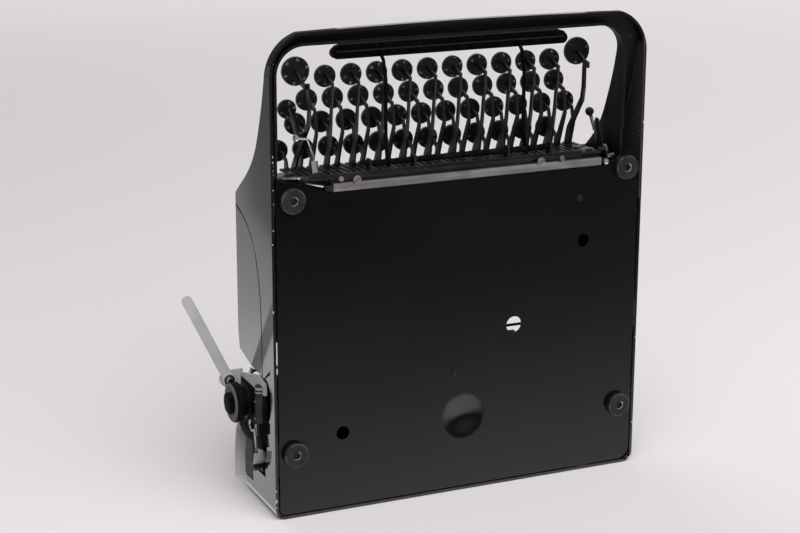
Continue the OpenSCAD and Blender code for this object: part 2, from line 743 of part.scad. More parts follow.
// Both shift keys on their levers, the cross bar between them and the shift lock key on the left
module shift_frame() {
    key_at = [[-110.1, 303.7], [101.8, 303.4]];
    bends = [[[245.2, 35.8], [270.5, 14], [281, 12], [298, 14.5]],
        [[247.6, 34], [272, 16.2], [281, 14.6], [298, 14.5]]];
    comb_v = [41.8, 36.8];
    foot_v = 13.6;
    lock_at = [-113.4, 277, 38];
    color(key_plastic) machine() {
        for (k = [0, 1]) {
            x = shift_x[k];
            slab(x, 1.5) difference() {
                union() {
                    polygon(strip(concat([fulcrum, [196, 14.2], [comb_u, comb_v[k]]], bends[k]),
                        [3.8, 3.8, 3.3, 2.4, 2.1, 2, 1.8]));
                    translate(fulcrum) circle(4.6);
                    polygon([[148, 3.2], [152, 3.2], [152, 11], [148, 11]]);
                }
                translate(fulcrum) circle(fulcrum_r + play);
            }
            box([min(x, key_at[k][0]) - 0.75, 294, foot_v], [max(x, key_at[k][0]) + 0.75, 298, foot_v + 1.5]);
            slab(key_at[k][0], 1.5) polygon(strip([[296.4, foot_v + 0.2], [297.6, 20],
                [key_at[k][1], row_v0 + 0.3]], [1.7, 1.7, 1.2]));
            translate([key_at[k][0], key_at[k][1], row_v0]) key_cap(shift_d);
        }
        bar_x(shift_x[0] + 0.85, shift_x[1] - 0.85, [150, 4.4], 1.2);
        slab(lock_at[0], 1.5) polygon(strip([[262, 21.8], [269, 26], [lock_at[1], lock_at[2] - 0.5]],
            [1.8, 1.8, 1.3]));
        box([lock_at[0] - 0.75, 260, 20.4], [shift_x[0] + 0.75, 264, 23]);
        translate(lock_at) key_cap(13);
    }
}

colour_at = [226, 20];

// Small ball-ended lever at the right of the keys that sets the ribbon's colour
module colour_lever() {
    x = frame_x - clearance;
    tip = [257.5, 38];
    color(chrome) machine() union() {
        slab(x - 0.75, 1.5) union() {
            translate(colour_at) circle(4);
            polygon(strip([colour_at, [240, 26], [248, 31]], [2.4, 2.2, 1.6]));
        }
        slab(x - 1.5, 3) polygon(strip([[246, 29.8], [248.6, 31.4]], [1.4, 1.4]));
        slab(x - 2.2, 1.6) polygon(strip([[246, 29.8], tip], [1.4, 1]));
        translate([x - 2.2, tip[0], tip[1]]) sphere(d = 6.4);
        bar_x(x - 1.5, frame_x + frame_t + 1, colour_at, 1.5);
    }
}

body_shell();
bottom_plate();
rubber_feet();
chassis_frame();
front_rail();
key_comb();
fulcrum_rod();
type_segment();
type_bars();
ribbon_cover();
carriage_rail();
carriage_frame();
carriage_ends();
paper_table();
platen();
platen_knobs();
return_lever();
paper_release_lever();
carriage_release_lever();
ribbon_spool_left();
ribbon_spool_right();
spring_drum();
escapement_wheel();
space_bar();
shift_frame();
colour_lever();
number_row_keys();
for (r = single_rows) for (i = [0 : row_count[r] - 1])
    single_key(r, i);
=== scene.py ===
# Portable manual typewriter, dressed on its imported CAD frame.
# A place is written (x, u, v) in millimetres: x from the middle of the body, u forward from the rear wall,
# v up from the underside of the base plate.
import json
import math

import bmesh
import bpy
from mathutils import Matrix, Vector


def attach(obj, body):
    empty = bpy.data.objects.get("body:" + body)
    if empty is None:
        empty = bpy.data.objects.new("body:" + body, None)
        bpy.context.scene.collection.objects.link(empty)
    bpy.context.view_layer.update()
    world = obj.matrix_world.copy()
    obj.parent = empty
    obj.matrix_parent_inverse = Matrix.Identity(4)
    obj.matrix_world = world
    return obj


print("typewriter: loading the frame")
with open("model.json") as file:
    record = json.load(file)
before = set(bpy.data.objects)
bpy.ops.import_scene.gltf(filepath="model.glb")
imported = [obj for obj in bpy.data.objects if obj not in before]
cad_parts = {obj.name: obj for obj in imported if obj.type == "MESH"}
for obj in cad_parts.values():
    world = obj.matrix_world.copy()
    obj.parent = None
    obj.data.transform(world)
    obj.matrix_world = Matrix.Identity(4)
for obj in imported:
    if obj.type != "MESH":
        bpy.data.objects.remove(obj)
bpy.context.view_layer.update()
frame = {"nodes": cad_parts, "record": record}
nodes = frame["nodes"]
body = {"shiftX": 6.5, "depth": 336, "footHeight": 4.5, "halfWidth": 140}


def at(x, u, v):
    return Vector((x + body["shiftX"], body["depth"] / 2 - u, v + body["footHeight"])) / 1000


# Paints and finishes
class Wire:
    # a socket that takes part in sums, so a mask reads like a formula
    def __init__(self, paint, socket):
        self.paint = paint
        self.socket = socket

    def maths(self, operation, first, second):
        return self.paint.add("ShaderNodeMath", {"operation": operation}, {0: first, 1: second})

    def __add__(self, other):
        return self.maths("ADD", self, other)

    def __sub__(self, other):
        return self.maths("SUBTRACT", self, other)

    def __mul__(self, other):
        return self.maths("MULTIPLY", self, other)

    def __gt__(self, other):
        return self.maths("GREATER_THAN", self, other)

    def __lt__(self, other):
        return self.maths("LESS_THAN", self, other)

    def __rsub__(self, other):
        return self.maths("SUBTRACT", other, self)

    __radd__ = __add__
    __rmul__ = __mul__

    def size(self):
        return self.paint.add("ShaderNodeMath", {"operation": "ABSOLUTE"}, {0: self})

    def between(self, low, high):
        settings = {"interpolation_type": "SMOOTHSTEP"}
        return self.paint.add("ShaderNodeMapRange", settings, {0: self, 1: low, 2: high, 3: 0.0, 4: 1.0})

    def ramp(self, stops):
        # a curve through (place, value) points, flat before the first and after the last
        whole = stops[0][1]
        for (low, first), (high, second) in zip(stops, stops[1:]):
            values = {0: self, 1: low, 2: high, 3: 0.0, 4: second - first}
            whole = self.paint.add("ShaderNodeMapRange", {}, values) + whole
        return whole


class Paint:
    # one material, built node by node
    def __init__(self, name, tree=None):
        if tree is None:
            self.material = bpy.data.materials.new(name)
            self.material.use_nodes = True
            tree = self.material.node_tree
        self.tree = tree
        tree.nodes.clear()
        self.places = None

    def add(self, kind, settings, values, output=0):
        node = self.tree.nodes.new(kind)
        for name, value in settings.items():
            if name == "stops":
                ramp = node.color_ramp
                while len(ramp.elements) < len(value):
                    ramp.elements.new(0.5)
                for stop, (place, colour) in zip(ramp.elements, value):
                    stop.position = place
                    stop.color = (*colour, 1)
            else:
                setattr(node, name, value)
        for name, value in values.items():
            if isinstance(value, Wire):
                self.tree.links.new(value.socket, node.inputs[name])
            else:
                node.inputs[name].default_value = value
        return Wire(self, node.outputs[output]) if len(node.outputs) else node

    def place(self):
        if self.places is None:
            self.places = self.add("ShaderNodeTexCoord", {}, {}, "Object")
        return self.places

    def axis(self, index):
        return self.add("ShaderNodeSeparateXYZ", {}, {0: self.place()}, index)

    def noise(self, scale, detail=3.0, stretch=(1, 1, 1), rough=0.5):
        where = self.add("ShaderNodeMapping", {}, {"Vector": self.place(), "Scale": stretch})
        values = {"Vector": where, "Scale": scale, "Detail": detail, "Roughness": rough}
        return self.add("ShaderNodeTexNoise", {}, values)

    def spots(self, places, ragged=0.0004):
        # small ragged patches round places given as (x, u, v, radius) in millimetres
        rough = (self.noise(900, 3) - 0.5) * ragged * 4
        whole = None
        for x, u, v, radius in places:
            ends = {0: self.place(), 1: at(x, u, v)}
            gap = self.add("ShaderNodeVectorMath", {"operation": "DISTANCE"}, ends, "Value")
            spot = (gap + rough) < radius / 1000
            whole = spot if whole is None else whole + spot
        return whole

    def blend(self, mask, first, second):
        first = first if isinstance(first, Wire) else (*first, 1)
        second = second if isinstance(second, Wire) else (*second, 1)
        return self.add("ShaderNodeMix", {"data_type": "RGBA"}, {0: mask, 6: first, 7: second}, 2)

    def finish(self, colour, roughness, bump=None, height=0.0002, strength=0.4, **more):
        values = {"Base Color": colour if isinstance(colour, Wire) else (*colour, 1), "Roughness": roughness}
        if bump is not None:
            knock = {"Strength": strength, "Distance": height, "Height": bump}
            values["Normal"] = self.add("ShaderNodeBump", {}, knock)
        values.update({name.replace("_", " "): value for name, value in more.items()})
        shader = self.add("ShaderNodeBsdfPrincipled", {}, values)
        self.add("ShaderNodeOutputMaterial", {}, {"Surface": shader})
        return self.material


# Chips in the shell's enamel, as (x, u, v, radius)
chips = {
    "left edge": [(-140, 149, 0, 1.0), (-140, 21.5, 0, 0.9), (-140, 14, 0, 1.3), (-140, 9.5, 0, 0.8)],
    "right edge": [(140, 255, 0, 0.9), (140, 96, 0, 0.7), (140, 30, 0, 1.1)],
    "front edge": [(-60, 336, 0, 0.6)],
    "right cheek": [(138.7, 268.5, 14, 0.7), (138.7, 271.8, 3.2, 0.8), (138.7, 260.7, 5.2, 0.9),
                    (138.7, 266, 5.6, 0.7), (138.7, 248.5, 2.4, 0.8), (138.7, 236.7, 6.2, 0.7),
                    (138.7, 310.6, 8.7, 0.8)],
    "left cheek": [(-138, 254.3, 0, 0.9), (-138.4, 250.9, 0, 0.6), (-137.8, 248.4, 0, 0.5),
                   (-137.6, 245.4, 0, 0.8), (-137.8, 242.6, 0, 0.5), (-137.5, 239.8, 0, 0.7),
                   (-138.2, 232.3, 0, 0.6), (-137.8, 222.9, 0, 0.6), (-138.8, 205.1, 0, 0.6),
                   (-139.3, 195.6, 0, 0.5)]}

# The shell in side view: the middle of its sheet as v over u from the brow forward, and the cover's seam.
# The seam's low stretch is v over u, and its steep stretch, above the turn, is u over v
shell = {"brow": [(210, 73.5), (218.4, 66), (228.5, 52.4), (242.4, 36.6), (262, 24), (295, 11.7), (330, 6)],
         "browStart": 200, "skin": 1.0, "paintedLitWall": 2.6,
         "seamLow": [(97, 22.9), (110, 22.9), (130, 23), (151.5, 24.3), (168, 28), (180, 32.3)],
         "seamSteep": [(32.3, 180), (38.9, 190), (48, 197.9), (59.3, 203.6), (73, 207.7)],
         "seamTurn": (181, 32.3), "seamEdge": 0.75, "seamDepth": 3}


def shellEnamel():
    paint = Paint("shell enamel")
    haze = paint.noise(14, 4)
    speck = paint.noise(900, 2)
    chipped = paint.spots([chip for group in chips.values() for chip in group])
    u = body["depth"] / 2 - paint.axis(1) * 1000
    v = paint.axis(2) * 1000 - body["footHeight"]
    across = paint.axis(0) * 1000 - body["shiftX"]
    side = across.size()
    # the inside of the keyboard frame lies under the middle of the sheet: it is matt and painted dark as
    # painted shade, and its wall on the right is painted lighter as painted light, with dust flecks in it
    between = (side < body["halfWidth"] - shell["skin"]) * (u < body["depth"] - shell["skin"])
    inside = (v < u.ramp(shell["brow"])) * between * (u > shell["browStart"])
    wall = inside * (across > body["halfWidth"] - shell["paintedLitWall"])
    dust = paint.noise(420, 5, rough=0.7)
    dustAndPaintedLight = paint.blend(dust.between(0.4, 0.8), (0.05, 0.046, 0.05), (0.085, 0.08, 0.083))
    # the pressed edges on both sides of the cover's seam turn in and look black: they are painted black, as
    # painted shade in the crease
    turnU, turnV = shell["seamTurn"]
    low = ((v - u.ramp(shell["seamLow"])).size() < shell["seamEdge"]) * (v < turnV) * (u < turnU)
    low = low * (u > shell["seamLow"][0][0])
    steep = ((u - v.ramp(shell["seamSteep"])).size() < shell["seamEdge"]) * (v > turnV)
    steep = steep * (v < shell["seamSteep"][-1][0] + 0.5)
    edge = (low + steep) * (side > body["halfWidth"] - shell["seamDepth"])
    colour = paint.blend(haze.between(0.35, 0.7), (0.010, 0.010, 0.011), (0.016, 0.0155, 0.017))
    # painted shade: the inside of the frame is painted far darker than the outer enamel, for the shade there
    colour = paint.blend(inside, colour, (0.004, 0.0037, 0.004))
    # painted light: the right wall inside the frame is painted lighter, flecked by the dust noise, for the
    # light falling on it
    colour = paint.blend(wall, colour, dustAndPaintedLight)
    colour = paint.blend(inside * (dust > 0.69), colour, (0.3, 0.29, 0.28))
    # painted shade along the seam's crease
    colour = paint.blend(edge, colour, (0.002, 0.002, 0.002))
    colour = paint.blend(chipped, colour, (0.5, 0.48, 0.46))
    roughness = 0.08 + haze * 0.06 + chipped * 0.3 + inside * 0.45 + edge * 0.6
    gloss = (1 - inside) * (1 - edge) * 0.85
    return paint.finish(colour, roughness, speck, 0.00002, 0.15, Coat_Weight=gloss, Coat_Roughness=0.05,
                        Specular_IOR_Level=0.25)


def plateEnamel():
    paint = Paint("plate enamel")
    haze = paint.noise(9, 5)
    grain = paint.noise(1400, 2)
    colour = paint.blend(haze.between(0.3, 0.75), (0.0032, 0.0027, 0.0033), (0.0050, 0.0044, 0.0052))
    return paint.finish(colour, 0.14 + haze * 0.06, grain, 0.00003, 0.3)


def footRubber():
    paint = Paint("foot rubber")
    dust = paint.noise(160, 5)
    height = paint.axis(2) * 1000
    rimWearAndHighlight = (height > 0.03) * (height < 0.7)
    colour = paint.blend(dust.between(0.4, 0.75), (0.007, 0.0072, 0.0078), (0.02, 0.0196, 0.02))
    # a lighter band round the rim: partly wear, partly a painted highlight on the rounded edge
    colour = paint.blend(rimWearAndHighlight * dust.between(0.35, 0.6), colour, (0.09, 0.09, 0.092))
    return paint.finish(colour, 0.5 + dust * 0.2, dust, 0.0001, 0.4)


def darkSteel(name, base, high, roughness):
    paint = Paint(name)
    streak = paint.noise(60, 4, (1, 1, 6))
    colour = paint.blend(streak.between(0.35, 0.75), base, high)
    return paint.finish(colour, roughness + streak * 0.14, streak, 0.00003, 0.3, Metallic=0.35)


def bareSteel():
    paint = Paint("bare steel")
    streak = paint.noise(90, 5, (0.25, 3, 3))
    stain = paint.noise(30, 5, rough=0.6)
    colour = paint.blend(streak.between(0.3, 0.75), (0.27, 0.25, 0.25), (0.47, 0.44, 0.43))
    colour = paint.blend(stain.between(0.52, 0.72) * 0.6, colour, (0.16, 0.135, 0.125))
    return paint.finish(colour, 0.34 + stain * 0.2, streak, 0.00004, 0.3, Metallic=0.85)


def brightPlate():
    paint = Paint("bright plate")
    cloud = paint.noise(45, 5)
    speck = paint.noise(520, 3)
    pits = (speck > 0.68) * (cloud > 0.45)
    colour = paint.blend(cloud.between(0.3, 0.75), (0.62, 0.62, 0.64), (0.46, 0.455, 0.47))
    colour = paint.blend(pits, colour, (0.16, 0.13, 0.11))
    return paint.finish(colour, 0.14 + cloud * 0.16 + pits * 0.3, speck, 0.00003, 0.2, Metallic=1.0)


def greyEnamel():
    paint = Paint("grey enamel")
    cloud = paint.noise(22, 5)
    grain = paint.noise(1100, 2)
    dirt = paint.noise(150, 5, rough=0.65)
    colour = paint.blend(cloud.between(0.3, 0.75), (0.42, 0.41, 0.41), (0.36, 0.35, 0.35))
    colour = paint.blend(dirt.between(0.6, 0.75) * 0.5, colour, (0.14, 0.125, 0.115))
    return paint.finish(colour, 0.4 + cloud * 0.15, grain, 0.00004, 0.4)


def keyPlastic():
    paint = Paint("key plastic")
    wear = paint.noise(70, 4)
    dust = paint.noise(600, 3)
    colour = paint.blend(wear.between(0.35, 0.7), (0.0055, 0.0053, 0.0058), (0.013, 0.0125, 0.0135))
    return paint.finish(colour, 0.26 + wear * 0.16, dust, 0.00003, 0.25)


def platenRubber():
    paint = Paint("platen rubber")
    wear = paint.noise(40, 5, (0.3, 2, 2))
    grain = paint.noise(900, 2)
    colour = paint.blend(wear.between(0.35, 0.7), (0.012, 0.0115, 0.012), (0.024, 0.023, 0.023))
    return paint.finish(colour, 0.5 + wear * 0.18, grain, 0.00005, 0.4)


# Where the parts of the carriage end begin, in the frame's millimetres: y grows to the rear, z up
endPlaces = {"flange": 84, "lug": (93, 71.3), "arm": 125.5, "cylinder": (-134, 34, 104.5),
             "rings": ((78.4, 80.3), (81.6, 82.6))}


def endPlates():
    # light lug and front flange, blackened plates, a grey arm behind and a brown-grey cylinder on the left
    paint = Paint("carriage end enamel")
    x, y, z = (paint.axis(i) * 1000 for i in range(3))
    dirt = paint.noise(120, 5, rough=0.65)
    grain = paint.noise(1100, 2)
    black = (0.006, 0.006, 0.006)
    colour = paint.blend(dirt.between(0.35, 0.7), black, (0.018, 0.017, 0.017))
    colour = paint.blend(y > endPlaces["arm"], colour, (0.11, 0.105, 0.11))
    light = paint.blend(dirt.between(0.45, 0.75), (0.62, 0.61, 0.61), (0.45, 0.44, 0.43))
    lugRear, lugFoot = endPlaces["lug"]
    colour = paint.blend((z > lugFoot) * (y < lugRear), colour, light)
    colour = paint.blend(y < endPlaces["flange"], colour, light)
    brown = paint.blend(dirt.between(0.4, 0.75), (0.04, 0.035, 0.031), (0.075, 0.068, 0.062))
    (a, b), (c, d) = endPlaces["rings"]
    brown = paint.blend((y < b) * (y > a) + (y < d) * (y > c), brown, (0.4, 0.39, 0.37))
    outer, top, rear = endPlaces["cylinder"]
    cylinder = (x < outer) * (z < top)
    colour = paint.blend(cylinder, colour, brown)
    colour = paint.blend(cylinder * (y > rear), colour, black)
    return paint.finish(colour, 0.5 + dirt * 0.2, grain, 0.00004, 0.35, Specular_IOR_Level=0.08)


def tablePaint():
    paint = Paint("paper table enamel")
    cloud = paint.noise(18, 5)
    colour = paint.blend(cloud.between(0.3, 0.75), (0.86, 0.845, 0.85), (0.76, 0.745, 0.75))
    return paint.finish(colour, 0.3 + cloud * 0.15, cloud, 0.00003, 0.3)


def knobPlastic():
    # black, with the face of the left knob outside its boss painted grey as a painted reflection
    knob = {"axis": (98, 57.5), "face": -145.9, "boss": 7}
    paint = Paint("knob plastic")
    x = paint.axis(0) * 1000
    y, z = ((paint.axis(i + 1) * 1000 - knob["axis"][i]).size() for i in range(2))
    wear = paint.noise(90, 4)
    face = (x < knob["face"]) * ((y * y + z * z) > knob["boss"] ** 2)
    colour = paint.blend(wear.between(0.35, 0.7), (0.004, 0.004, 0.004), (0.011, 0.0105, 0.011))
    # painted reflection of the bright room on the knob's face
    colour = paint.blend(face, colour, (0.2, 0.195, 0.205))
    return paint.finish(colour, 0.5 + wear * 0.2, wear, 0.00003, 0.25, Specular_IOR_Level=0.06)


def releasePlate():
    # bright plate with a dark block in the middle and a black tip
    lever = {"tip": 135, "block": (114, 124), "blockTop": 31.2}
    paint = Paint("release lever plate")
    y, z = paint.axis(1) * 1000, paint.axis(2) * 1000
    cloud = paint.noise(60, 5)
    block = (y > lever["block"][0]) * (y < lever["block"][1]) * (z < lever["blockTop"])
    colour = paint.blend(cloud.between(0.3, 0.75), (0.62, 0.61, 0.61), (0.42, 0.41, 0.41))
    colour = paint.blend(y > lever["tip"], colour, (0.008, 0.008, 0.008))
    colour = paint.blend(block, colour, (0.03, 0.03, 0.03))
    return paint.finish(colour, 0.3 + cloud * 0.2, cloud, 0.00003, 0.3, Metallic=0.45)


def mattBlack():
    paint = Paint("matt black")
    dust = paint.noise(300, 4)
    colour = paint.blend(dust.between(0.45, 0.8), (0.003, 0.003, 0.003), (0.014, 0.013, 0.013))
    return paint.finish(colour, 0.5 + dust * 0.2, dust, 0.00005, 0.4, Specular_IOR_Level=0.04)


def ballLever():
    # a dark ball on a light stem that is dark again at its foot
    stem = {"foot": 32, "ball": 38.8}
    paint = Paint("colour lever")
    z = paint.axis(2) * 1000
    wear = paint.noise(160, 4)
    colour = paint.blend(wear.between(0.35, 0.7), (0.4, 0.39, 0.38), (0.2, 0.19, 0.18))
    ball = z > stem["ball"]
    colour = paint.blend(ball + (z < stem["foot"]), colour, (0.011, 0.009, 0.009))
    return paint.finish(colour, 0.2 + wear * 0.15, wear, 0.00002, 0.2, Metallic=(1 - ball) * 0.6)


def typeSteel():
    # blackened bars with bright type at their tips, which lie in an arc round the printing point
    basket = {"y": 82, "tips": 99.5}
    paint = Paint("type bar steel")
    x, y = paint.axis(0) * 1000 - body["shiftX"], paint.axis(1) * 1000 - basket["y"]
    tip = (x * x + y * y) > basket["tips"] ** 2
    streak = paint.noise(220, 4)
    dark = paint.blend(streak.between(0.35, 0.7), (0.05, 0.048, 0.048), (0.1, 0.097, 0.096))
    colour = paint.blend(tip, dark, (0.36, 0.35, 0.34))
    return paint.finish(colour, 0.3 + streak * 0.2, streak, 0.00003, 0.3, Metallic=0.75)


def satinPlate():
    paint = Paint("return lever plate")
    cloud = paint.noise(40, 5)
    scratch = paint.noise(220, 4, (6, 0.6, 1))
    colour = paint.blend(cloud.between(0.3, 0.75), (0.78, 0.77, 0.79), (0.62, 0.61, 0.63))
    return paint.finish(colour, 0.36 + scratch * 0.18, scratch, 0.00003, 0.3, Metallic=0.3)


print("typewriter: mixing the paints")
finishes = {
    "shell_paint": shellEnamel(),
    "plate_paint": plateEnamel(),
    "foot_rubber": footRubber(),
    "dark_steel": darkSteel("dark steel", (0.010, 0.010, 0.011), (0.03, 0.029, 0.031), 0.34),
    "bare_steel": bareSteel(),
    "bright_chrome": brightPlate(),
    "grey_paint": greyEnamel(),
    "key_plastic": keyPlastic(),
    "platen_rubber": platenRubber(),
}
slotOf = {part["node"]: part["material_slot"] for part in frame["record"]["subparts"]}
blackened = mattBlack()
ownFinish = {"carriage_ends": endPlates(), "colour_lever": ballLever(), "paper_table": tablePaint(),
             "platen_knobs": knobPlastic(), "carriage_release_lever": releasePlate(),
             "return_lever": satinPlate(), "type_bars": typeSteel(), "space_bar": blackened}
for name, piece in nodes.items():
    for place in piece.material_slots:
        place.material = ownFinish.get(name, finishes[slotOf[name]])


# Shapes written in millimetres
def way(x, u, v):
    return Vector((x, -u, v))


def ring(count, radius, start=0.0, sweep=360.0):
    steps = count if sweep == 360.0 else count - 1
    angles = [math.radians(start + sweep * i / steps) for i in range(count)]
    return [(radius * math.cos(a), radius * math.sin(a)) for a in angles]


class Form:
    # one piece, built in the (x, u, v) places of the machine and riding on a body
    def __init__(self, name, body, slot, paint=None):
        self.name = name
        self.body = body
        self.slot = slot
        self.paint = paint or finishes[slot]
        self.shape = bmesh.new()

    def turned(self, outline, centre, axis, steps=20):
        # an outline of (radius, along) turned about the axis through the centre
        axis = way(*axis).normalized()
        side = axis.orthogonal().normalized()
        hub = at(*centre)
        places = [hub + (axis * along + side * radius) / 1000 for radius, along in outline]
        verts = [self.shape.verts.new(place) for place in places]
        edges = [self.shape.edges.new(pair) for pair in zip(verts, verts[1:])]
        bmesh.ops.spin(self.shape, geom=verts + edges, cent=hub, axis=axis, angle=math.tau, steps=steps,
                       use_merge=True)

    def plate(self, outline, low, high, across="v"):
        # a flat outline between two heights on the axis that it lies across
        index = "xuv".index(across)
        verts = []
        for a, b in outline:
            place = [a, b]
            place.insert(index, low)
            verts.append(self.shape.verts.new(at(*place)))
        move = [0, 0, 0]
        move[index] = (high - low) / 1000
        self.grow(verts, way(*move))

    def plates(self, outlines, across="v"):
        for outline, low, high in outlines:
            self.plate(outline, low, high, across)

    def grow(self, verts, move):
        # a face on these corners, drawn out to a solid
        face = self.shape.faces.new(verts)
        grown = bmesh.ops.extrude_face_region(self.shape, geom=[face])["geom"]
        moved = [v for v in grown if isinstance(v, bmesh.types.BMVert)]
        bmesh.ops.translate(self.shape, vec=move, verts=moved)

    def rod(self, path, radius, steps=10):
        # a round rod, or a tapered one, along a bent path
        points = [at(*place) for place in path]
        radii = radius if isinstance(radius, (list, tuple)) else [radius] * len(points)
        rings = []
        side = None
        for i, point in enumerate(points):
            ahead = (points[min(i + 1, len(points) - 1)] - points[max(i - 1, 0)]).normalized()
            side = ahead.orthogonal() if side is None else side - ahead * side.dot(ahead)
            side.normalize()
            up = ahead.cross(side)
            places = [point + (side * a + up * b) / 1000 for a, b in ring(steps, radii[i])]
            rings.append([self.shape.verts.new(place) for place in places])
        for near, far in zip(rings, rings[1:]):
            for i in range(steps):
                j = (i + 1) % steps
                self.shape.faces.new((near[i], near[j], far[j], far[i]))
        self.shape.faces.new(rings[0])
        self.shape.faces.new(rings[-1])

    def screw(self, centre, axis, radius, height, turn=20):
        # a slotted screw head: a low disc with two raised halves
        centre = Vector(centre)
        along = Vector(axis)
        self.turned([(0, height * 0.5), (radius, height * 0.5), (radius, 0)], centre, axis)
        slotHalf = radius * 0.16
        start = math.degrees(math.asin(slotHalf / radius))
        for half in (0, 180):
            flat = ring(12, radius * 0.97, start + half, 180 - 2 * start)
            places = [self.onDisc(centre, along, height * 0.45, turn, spot) for spot in flat]
            self.grow([self.shape.verts.new(place) for place in places], way(*(along * height * 0.55)) / 1000)

    def onDisc(self, centre, axis, along, turn, spot):
        first = axis.orthogonal().normalized()
        second = axis.cross(first)
        a = math.radians(turn)
        x = spot[0] * math.cos(a) - spot[1] * math.sin(a)
        y = spot[0] * math.sin(a) + spot[1] * math.cos(a)
        return at(*(centre + axis * along + first * x + second * y))

    def finish(self, soften=0.0, sharp=32):
        bmesh.ops.remove_doubles(self.shape, verts=self.shape.verts, dist=0.000002)
        bmesh.ops.recalc_face_normals(self.shape, faces=self.shape.faces)
        if soften:
            corners = [e for e in self.shape.edges if len(e.link_faces) == 2 and e.calc_face_angle(0) > 0.6]
            bmesh.ops.bevel(self.shape, geom=corners, offset=soften / 1000, affect="EDGES", segments=2,
                            profile=0.5, material=-1)
        mesh = bpy.data.meshes.new(self.name)
        self.shape.to_mesh(mesh)
        self.shape.free()
        mesh.materials.append(self.paint)
        mesh.shade_smooth()
        mesh.set_sharp_from_angle(angle=math.radians(sharp))
        piece = bpy.data.objects.new(self.name, mesh)
        bpy.context.collection.objects.link(piece)
        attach(piece, self.body)
        return piece


# Screws and small fittings under the base
print("typewriter: screws and small fittings")
foot = {"x": 125.7, "u": (46.8, 224.4), "recess": -1.6, "screw": 2.4,
        "washer": [(2.45, 3.3), (2.55, 3.8), (2.75, 4.2), (2.97, 4.35), (2.97, 3.3), (2.45, 3.3)]}
footPlaces = [(s * foot["x"], u) for s in (-1, 1) for u in foot["u"]]
screws = Form("foot_screws", "machine", "dark_steel")
for i, (x, u) in enumerate(footPlaces):
    screws.screw((x, u, foot["recess"]), (0, 0, -1), foot["screw"], 1.2, 25 + 47 * i)
screws.finish()
washers = Form("foot_washers", "machine", "bright_chrome")
for x, u in footPlaces:
    washers.turned(foot["washer"], (x, u, 0), (0, 0, -1))
washers.finish()

plateScrews = Form("plate_screws", "machine", "dark_steel")
for i, (x, u) in enumerate([(89.5, 204.9), (-6.3, 88.1)]):
    plateScrews.screw((x, u, 0), (0, 0, -1), 2.2, 0.9, 70 + 60 * i)
plateScrews.finish()

railScrews = Form("rail_screws", "machine", "bare_steel")
for x, u, radius in ((-79.1, 234, 3.0), (58.7, 233.8, 3.0), (-90.6, 235.6, 1.8), (75.2, 234.8, 1.8)):
    railScrews.screw((x, u, 0.35), (0, 0, -1), radius, 1.0, 15)
railScrews.finish()

# The bright cylinder on its bent rod, with a button at the rod's end
setLever = {"rod": [(-106.8, 239, 6), (-107, 246, 8), (-106.9, 250.7, 8), (-111.4, 262.1, 7)],
            "sleeve": [(-106.7, 238, 5.5), (-107.2, 247.3, 8)],
            "stud": [(-111.7, 262.8, 7), (-118.3, 263.8, 7.2)],
            "button": (-118.5, 263.9, 7.2),
            "buttonSide": [(0, 0), (2.4, 0), (2.6, 0.5), (2.6, 2), (2, 2.7), (0, 2.9)]}
small = Form("set_lever", "machine", "bright_chrome")
small.rod(setLever["rod"], 0.9)
small.rod(setLever["sleeve"], 3.0, 14)
small.rod(setLever["stud"], 0.9)
small.turned(setLever["buttonSide"], setLever["button"], (-1, 0, 0))
small.finish()

# Flat works round the ends of the front rail and the comb, as (x, u) outlines with their lower and upper v
stud = {"at": (110.4, 229.4, 0.4),
        "side": [(0, -1.2), (2.4, -0.6), (2.4, 0.6), (1.8, 1.9), (0.9, 2.5), (0, 2.7)]}
railTabs = [
    ([(111.1, 240.4), (113.9, 240.4), (116, 235.6), (117, 230.4), (114.9, 229.9), (113.8, 235.4)], 6.4, 7),
    ([(113, 231.6), (119.6, 231.4), (118, 234.6), (114, 233.8)], 3, 3.5),
    ([(88, 240.7), (94.3, 241.2), (95.2, 238), (89.7, 238)], 8, 8.6),
    ([(-105.5, 238.5), (-102, 238), (-98.5, 234.6), (-101, 233.4), (-105, 235)], 5.2, 6),
    ([(92.9, 239.4), (102.3, 239.2), (102.4, 234.2), (94.6, 233.4)], 5.2, 5.8),
    ([(-101.6, 231.8), (-102.8, 230.4), (-115.4, 234.2), (-115, 234.6)], 1.6, 2.2),
    ([(-134.9, 237), (-129, 236), (-128.9, 242.6), (-132.4, 242.9), (-135.3, 240.6)], 3.4, 4),
    ([(-129, 238.9), (-123, 239.3), (-115.5, 238.4), (-115.5, 236), (-121, 237.6), (-128.6, 236.6)], 3.5, 4)]
combTabs = [
    ([(-97, 232.9), (92.6, 232.9), (92.6, 238.4), (-97, 238.4)], 3.2, 4.6),
    ([(97, 238.2), (98.9, 238.3), (99.2, 236.8), (97.3, 236.7)], 4.9, 5.4),
    ([(100, 238.3), (101.4, 238.4), (101.6, 236.9), (100.2, 236.8)], 4.9, 5.4),
    ([(106.5, 236.4), (112.6, 236.4), (112.6, 239), (106.5, 239)], 5, 6),
    ([(-101.6, 226.8), (-94.6, 226.8), (-94.6, 232), (-101.6, 231.6)], 0.5, 1.6)]
setBracket = [
    ([(-112, 235.2), (-98, 235.2), (-98, 238.6), (-103, 240.6), (-108, 240.6), (-112, 238.6)], 2.6, 4.1),
    ([(-134.5, 236), (-121, 236), (-118, 238.5), (-121, 241.5), (-134.5, 241.5)], 4.2, 5.7)]
